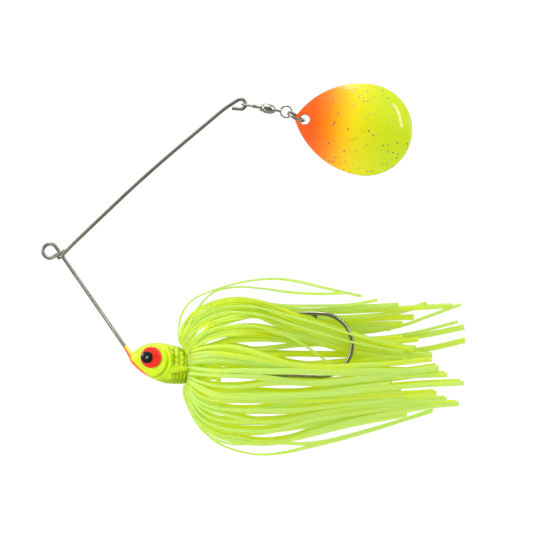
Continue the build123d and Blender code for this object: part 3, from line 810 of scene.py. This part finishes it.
def strand_line(drawn, side, layer, hook_depth, wander, rng):
    """The strand's line in space, and its outward normal, from its guide on the side view."""
    x, below = even_line(drawn, ROWS).T
    share = np.linspace(0, 1, ROWS)
    phase = 2 * math.pi * rng.uniform(1.2, 2.4) * share
    rise_shift, side_shift = rng.uniform(0, 2 * math.pi), rng.uniform(0, 2 * math.pi)
    grown = smoothstep(0.05, 0.5, share)
    x = x - FOLD_FORWARD * smoothstep(0.08, 0.0, share)
    z = wander * grown * np.sin(phase + rise_shift) - below
    rise = z - BAND_HEIGHT
    reach = np.where(rise > 0, np.interp(x, SKIRT_X, SKIRT_ABOVE), np.interp(x, SKIRT_X, SKIRT_BELOW))

    # The strand lies on the skirt's oval section, but never quite at its top or bottom.
    up = np.clip(rise / reach, -0.985, 0.985)
    out = np.sqrt(1 - up ** 2)
    y = side * np.interp(x, SKIRT_X, SKIRT_SIDE) * out * layer
    y = y + wander * 1.5 * grown * np.sin(0.812 * phase + side_shift)
    if hook_depth is not None:
        depth = rng.uniform(*hook_depth)
        close = smoothstep(*CLOSE_IN, x)
        y = y * (1 - close) + (depth + SPREAD * np.maximum(x - SPREAD_FROM, 0)) * close

    # Each strand starts under the band, at its own angle round the collar.
    angle = math.atan2(rise[0] / reach[0], side * out[0])
    root = [(root_x, radius * math.cos(angle), BAND_HEIGHT + radius * math.sin(angle))
            for root_x, radius in STRAND_ROOT]
    line = np.vstack([root, np.stack([x, y, z], axis=1)])

    # Its flat side faces out from the skirt, and at the tail more to the lure's side.
    turned = 0.75 * smoothstep(*TURN_FLAT, x)
    to_side = side * (out * (1 - turned) + turned)
    normal = unit(np.stack([np.zeros(ROWS), to_side, up * (1 - turned)], axis=1))
    return line, np.vstack([normal[:1], normal[:1], normal])


def strand_mesh(verts, faces, line, normal, width, twist):
    """Adds one flat strip with square ends along a line."""
    tangent = unit(np.gradient(line, axis=0))
    normal = unit(normal - tangent * np.sum(normal * tangent, axis=1, keepdims=True))
    flat = np.cross(tangent, normal)
    turn = math.radians(twist) * smoothstep(0.3, 1.0, np.linspace(0, 1, len(line)))
    flat, normal = (flat * np.cos(turn)[:, None] + normal * np.sin(turn)[:, None],
                    normal * np.cos(turn)[:, None] - flat * np.sin(turn)[:, None])
    widths = width * (0.6 + 0.4 * smoothstep(*GROW_WIDE, line[:, 0]))
    start = len(verts)
    for p, w, t, wide in zip(line, flat, normal, widths):
        for across, up in STRAND_SECTION:
            verts.append(tuple(p + w * across * wide + t * up * STRAND_THICKNESS))
    faces += capped_faces(start, len(line), len(STRAND_SECTION))


def group_strands(group):
    """Each guide's own strand, and extra ones between neighbours, the same on both sides."""
    rng = random.Random(7 * len(group.guides) + group.between)
    points = 10                             # in a guide, when two are mixed
    routes = [(np.array(guide), True) for guide in group.guides]
    for low, high in zip(group.guides, group.guides[1:]):
        for k in range(group.between):
            mix = (k + 1) / (group.between + 1) + rng.uniform(-0.08, 0.08)
            route = even_line(low, points) * (1 - mix) + even_line(high, points) * mix
            routes.append((route, False))
    return routes


def make_skirt(silicone):
    """One object of separate strands for each bundle."""
    rng = random.Random(11)
    bundles = {}
    for name, groups in SKIRT.items():
        verts = []
        faces = []
        backlight_tones = []
        for group in groups:
            for drawn, is_guide in group_strands(group):
                layer = rng.uniform(*group.layers)
                line, normal = strand_line(
                    drawn, group.side, layer, group.hook_depth, group.wander, rng)
                cut = 0.0 if is_guide else rng.uniform(*EXTRA_CUT)
                rows = len(line) - int(cut * len(line))
                width = STRAND_WIDTH * rng.uniform(*group.width)
                twist = rng.uniform(-group.twist, group.twist)
                # How pale the strand is painted: pale for light coming through, deep for shade inside the
                # skirt.
                tone = rng.uniform(*group.tone)
                strand_mesh(verts, faces, line[:rows], normal[:rows], width, twist)
                backlight_tones += [tone] * (len(verts) - len(backlight_tones))
        bundle = mesh_object(f"skirt_strands_{name}", verts, faces, [silicone], sharp_angle=50)
        point_values(bundle, "tone", backlight_tones)
        bundles[name] = bundle
    return bundles


# ---- Blade ----

BLADE_SLOPE = -9.2
BLADE_HALF_WIDTH = 11.75
BLADE_WIDEST = 18.4
BLADE_SIDE_RADIUS = 20.5
BLADE_NOSE_RADIUS = 2.2
BLADE_THICKNESS = 0.6
BLADE_EDGE = ((0.05, 0.06), (0.0, 0.2))    # the rolled edge: how far in, and how far behind the face
BLADE_HOLE = 2.55
BLADE_HOLE_RADIUS = 1.22
BLADE_HOLE_PLACE = (64.944, 33.504)
CUP_CENTRE = 16.0
CUP_LENGTH_RADIUS = 28.0
CUP_RADIUS = 19.3


def ray_to_circle(origin, direction, centre, radius):
    """Distance along a ray from inside a circle to its edge."""
    offset = origin - centre
    b = offset @ direction
    return -b + math.sqrt(b * b - (offset @ offset - radius ** 2))


def blade_edge(angle):
    """Distance from the hole's centre to the blade's outline at an angle."""
    origin = np.array([BLADE_HOLE, 0.0])
    direction = np.array([math.cos(angle), abs(math.sin(angle))])
    tail = np.array([BLADE_WIDEST, 0.0])
    side = np.array([BLADE_WIDEST, BLADE_HALF_WIDTH - BLADE_SIDE_RADIUS])
    inner = BLADE_SIDE_RADIUS - BLADE_NOSE_RADIUS
    nose = np.array([BLADE_WIDEST - math.sqrt(inner ** 2 - side[1] ** 2), 0.0])
    joint = side + unit(nose - side) * BLADE_SIDE_RADIUS
    to_nose = ray_to_circle(origin, direction, nose, BLADE_NOSE_RADIUS)
    if origin[0] + to_nose * direction[0] <= joint[0]:
        return to_nose
    to_side = ray_to_circle(origin, direction, side, BLADE_SIDE_RADIUS)
    if origin[0] + to_side * direction[0] <= BLADE_WIDEST:
        return to_side
    return ray_to_circle(origin, direction, tail, BLADE_HALF_WIDTH)


def cup_height(u, w):
    """Height of the convex face above the hole, in the blade's own frame."""
    def dome(along, across):
        return CUP_RADIUS * np.sqrt(1 - (along / CUP_LENGTH_RADIUS) ** 2 - (across / CUP_RADIUS) ** 2)
    return dome(u - CUP_CENTRE, w) - dome(BLADE_HOLE - CUP_CENTRE, 0.0) + BLADE_THICKNESS / 2


def make_blade(paint, metal):
    """The cupped blade with rolled edges: painted face, bare plated edge and back."""
    around, rings = 288, 56
    angles = circle(around)
    edge = np.array([blade_edge(a) for a in angles])
    roll = 0.16
    face = [(BLADE_HOLE_RADIUS + roll) * (1 - share) + (edge - roll) * share
            for share in np.linspace(0, 1, rings) ** 1.15]
    rows = []

    def ring(r, drop):
        """Adds points at distances r round the hole, a drop behind the convex face."""
        u = BLADE_HOLE + r * np.cos(angles)
        w = r * np.sin(angles)
        rows.append(np.stack([u, w, cup_height(u, w) - drop], axis=1))

    for r in face:
        ring(r, 0.0)
    for inset, drop in BLADE_EDGE:
        ring(edge - inset, drop)
    for inset, drop in reversed(BLADE_EDGE):
        ring(edge - inset, BLADE_THICKNESS - drop)
    for r in reversed(face):
        ring(r, BLADE_THICKNESS)
    for inset, drop in BLADE_EDGE:
        ring(BLADE_HOLE_RADIUS + inset, BLADE_THICKNESS - drop)
    for inset, drop in reversed(BLADE_EDGE):
        ring(BLADE_HOLE_RADIUS + inset, drop)
    slope = math.radians(BLADE_SLOPE)
    verts = []
    for points in rows:
        for u, w, h in points:
            u -= BLADE_HOLE
            verts.append((BLADE_HOLE_PLACE[0] + u * math.cos(slope) - w * math.sin(slope), -h,
                          BLADE_HOLE_PLACE[1] + u * math.sin(slope) + w * math.cos(slope)))
    faces = band_faces(0, len(rows), around, closed=True)
    slots = [0] * (rings * around) + [1] * ((len(rows) - rings) * around)
    return mesh_object("spinner_blade", verts, faces, [paint, metal], slots, sharp_angle=60)


# ---- Swivel barrel and split ring ----

SWIVEL_SLOPE = -9.5
BARREL_START = np.array([53.502, 0.0, 36.63])
# Outline of the barrel and its cavity: (distance along the swivel, radius).
BARREL_PROFILE = (
    (0.0, 0.45), (0.0, 0.74), (0.03, 0.82), (0.1, 0.88), (0.5, 0.9), (0.6, 0.88), (0.64, 0.85),
    (0.7, 0.88), (0.78, 0.96), (0.95, 1.06), (1.2, 1.15), (1.5, 1.21), (1.9, 1.25), (2.3, 1.25),
    (2.7, 1.21), (3.05, 1.14), (3.35, 1.03), (3.6, 0.9), (3.8, 0.74), (3.9, 0.62), (3.95, 0.5),
    (3.95, 0.45), (3.4, 0.45), (3.4, 0.8), (0.6, 0.8), (0.6, 0.45),
)
RING_SLOPE = -28.0
RING_TILT = 15.0                  # the near side hangs a little lower than the far side
RING_CENTRE = np.array([62.706, 0.0, 34.176])
RING_RADIUS = 2.24
RING_TURNS = 1.9
RING_START = 0.5                  # angle of the wire's first end, in radians
RING_PITCH = 0.4
RING_STEPS = 200                  # sections along its wire
RING_SECTION = whole_section(((-0.21, -0.1), (-0.14, -0.18), (0.14, -0.18), (0.21, -0.1)))


def slope_frame(slope):
    """The direction along a slope in the wire's plane, and the one across it."""
    angle = math.radians(slope)
    along = np.array([math.cos(angle), 0.0, math.sin(angle)])
    return along, np.array([-along[2], 0.0, along[0]])


def make_barrel(metal):
    """The swivel's turned barrel, with a collar at its front and a cavity for the pins' heads."""
    along, up = slope_frame(SWIVEL_SLOPE)
    around = 96
    verts = []
    for distance, radius in BARREL_PROFILE:
        for a in circle(around):
            verts.append(tuple(BARREL_START + along * distance
                               + radius * (up * math.cos(a) + ACROSS * math.sin(a))))
    faces = band_faces(0, len(BARREL_PROFILE), around, closed=True)
    return mesh_object("swivel_barrel_shell", verts, faces, [metal], sharp_angle=40)


def make_split_ring(metal):
    """Nearly two turns of flattened wire, side by side."""
    along, up = slope_frame(RING_SLOPE)
    tilt = math.radians(RING_TILT)
    across = ACROSS * math.cos(tilt) + up * math.sin(tilt)
    axis = np.cross(along, across)
    verts = []
    for turn in np.linspace(0, RING_TURNS, RING_STEPS):
        a = 2 * math.pi * turn + RING_START
        out = along * math.cos(a) + across * math.sin(a)
        rise = (turn - RING_TURNS / 2) * RING_PITCH
        for radial, level in RING_SECTION:
            verts.append(tuple(RING_CENTRE + out * (RING_RADIUS + radial) + axis * (rise + level)))
    faces = capped_faces(0, RING_STEPS, len(RING_SECTION))
    return mesh_object("split_ring_coil", verts, faces, [metal], sharp_angle=60)


# ---- Assembly ----

def attach(piece, body, slot, *replaced):
    """Hangs a piece on its body, and hides the CAD nodes it stands for."""
    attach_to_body(piece, body)
    if replaced:
        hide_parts(*replaced)


def finish_node(name, material):
    """Gives a CAD node that stays in view its material."""
    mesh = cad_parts[name].data
    mesh.materials.clear()
    mesh.materials.append(material)


spring_wire = make_spring_wire()
black_nickel = make_black_nickel()
bright_nickel = make_nickel("bright_nickel", srgb(152, 148, 136), srgb(206, 202, 190), 0.2)
ring_nickel = make_nickel("ring_nickel", srgb(150, 146, 134), srgb(196, 192, 180), 0.3)
head_paint = make_head_paint()
eye_red = make_eye("eye_red", srgb(234, 40, 14), srgb(214, 30, 10))
eye_black = make_eye("eye_black", srgb(26, 12, 10), srgb(10, 6, 6))
silicone = make_silicone()
band_rubber = make_band_rubber()
blade_paint = make_blade_paint()

attach(make_head(head_paint), "lure", "head_paint", "head_casting")
attach(make_sleeve(make_sleeve_paint()), "lure", "head_paint")
for name, side in (("near", -1), ("far", 1)):
    attach(make_iris(f"iris_{name}", side, eye_red), "lure", "eye_red", f"eye_iris_{name}")
    attach(make_pupil(f"pupil_{name}", side, eye_black), "lure", "eye_black", f"eye_pupil_{name}")
for name, bundle in make_skirt(silicone).items():
    attach(bundle, "lure", "skirt_silicone", f"skirt_bundle_{name}")
attach(make_blade(blade_paint, bright_nickel), "spinner", "blade_paint", "blade")
finish_node("wire_frame", spring_wire)
finish_node("hook", black_nickel)
finish_node("skirt_band", band_rubber)
attach(make_barrel(bright_nickel), "barrel", "bright_nickel", "swivel_barrel")
attach(make_split_ring(ring_nickel), "ring", "ring_nickel", "split_ring")
for name in ("swivel_eye_front", "swivel_eye_rear"):
    finish_node(name, bright_nickel)


# ---- Camera, floor and light ----

LENS = 200.0
SENSOR = 36.0
VIEW_WIDTH = 135.9                # width of the picture at the wire, in millimetres
VIEW_CENTRE = (55.16, -3.95)

camera = add_object("camera", bpy.data.cameras.new("camera"))
camera.data.lens = LENS
camera.data.sensor_width = SENSOR
camera.data.clip_start = 0.01
camera.data.clip_end = 20
camera.location = (VIEW_CENTRE[0] * MM, -VIEW_WIDTH * LENS / SENSOR * MM, VIEW_CENTRE[1] * MM)
camera.rotation_euler = (math.radians(90), 0, 0)
bpy.context.scene.camera = camera
bpy.context.scene.view_settings.view_transform = "Standard"


FLOOR_SIZE = 420.0                # half of its side
FLOOR_DROP = 60.0                 # from the lure's lowest point down to it


def make_floor():
    """A white floor with a faint glow, which lights the lure from below and isn't mirrored in it."""
    n = Nodes("floor")
    n.set(Base_Color=(0.9, 0.9, 0.9, 1.0), Roughness=0.9,
          Emission_Color=(1.0, 1.0, 1.0, 1.0), Emission_Strength=0.26)
    height = cad_box[0][2] / MM - FLOOR_DROP
    corners = [(x * FLOOR_SIZE, y * FLOOR_SIZE, height) for x, y in ((-1, -1), (1, -1), (1, 1), (-1, 1))]
    floor = mesh_object("floor", corners, [(0, 1, 2, 3)], [n.material])
    floor.visible_glossy = False


def make_light(name, place, size, power, target=(55, 0, -5), turn=0.0):
    """A soft box of size (width, height) in millimetres that faces a target."""
    lamp = bpy.data.lights.new(name, "AREA")
    lamp.energy = power
    lamp.shape = "RECTANGLE"
    lamp.size = size[0] * MM
    lamp.size_y = size[1] * MM
    obj = add_object(name, lamp)
    obj.location = Vector(place) * MM
    facing = (Vector(target) * MM - obj.location).to_track_quat("-Z", "Y")
    obj.rotation_euler = (facing @ Quaternion((0, 0, 1), math.radians(turn))).to_euler()
    obj.visible_camera = False


def make_world():
    """White to the camera; to everything else a studio, bright above and aside, dim ahead."""
    dim, white = 0.19, 1.05
    world = bpy.data.worlds.new("studio")
    bpy.context.scene.world = world
    world.use_nodes = True
    tree = world.node_tree
    place = add_node(tree, "ShaderNodeTexCoord").outputs["Generated"]
    way = add_node(tree, "ShaderNodeSeparateXYZ", {0: place}).outputs
    above = soft_range(tree, way["Z"], 0.1, 0.85, dim, dim + 0.4)
    aside = soft_range(tree, way["Y"], -0.9, -0.45, 0.0, 0.22)
    studio = add_node(tree, "ShaderNodeMath", {0: above, 1: aside}, operation="ADD").outputs[0]
    seen = add_node(tree, "ShaderNodeLightPath").outputs["Is Camera Ray"]
    strength = add_node(tree, "ShaderNodeMix", {"Factor": seen, "A": studio, "B": white})
    back = tree.nodes["Background"]
    tree.links.new(strength.outputs["Result"], back.inputs["Strength"])
    back.inputs["Color"].default_value = (1, 1, 1, 1)


make_floor()
make_world()
make_light("left", (-470, -150, 170), (240, 260), 1.3)
make_light("right", (560, -240, 120), (240, 260), 0.7)
make_light("top", (0, -90, 520), (320, 180), 1.4)
make_light("strip", (356, -315, 240), (13, 290), 0.36, (88, 0, 34), -8)
make_light("catch", (2, -56, -27), (18, 18), 0.010, (24.8, -4, -27))
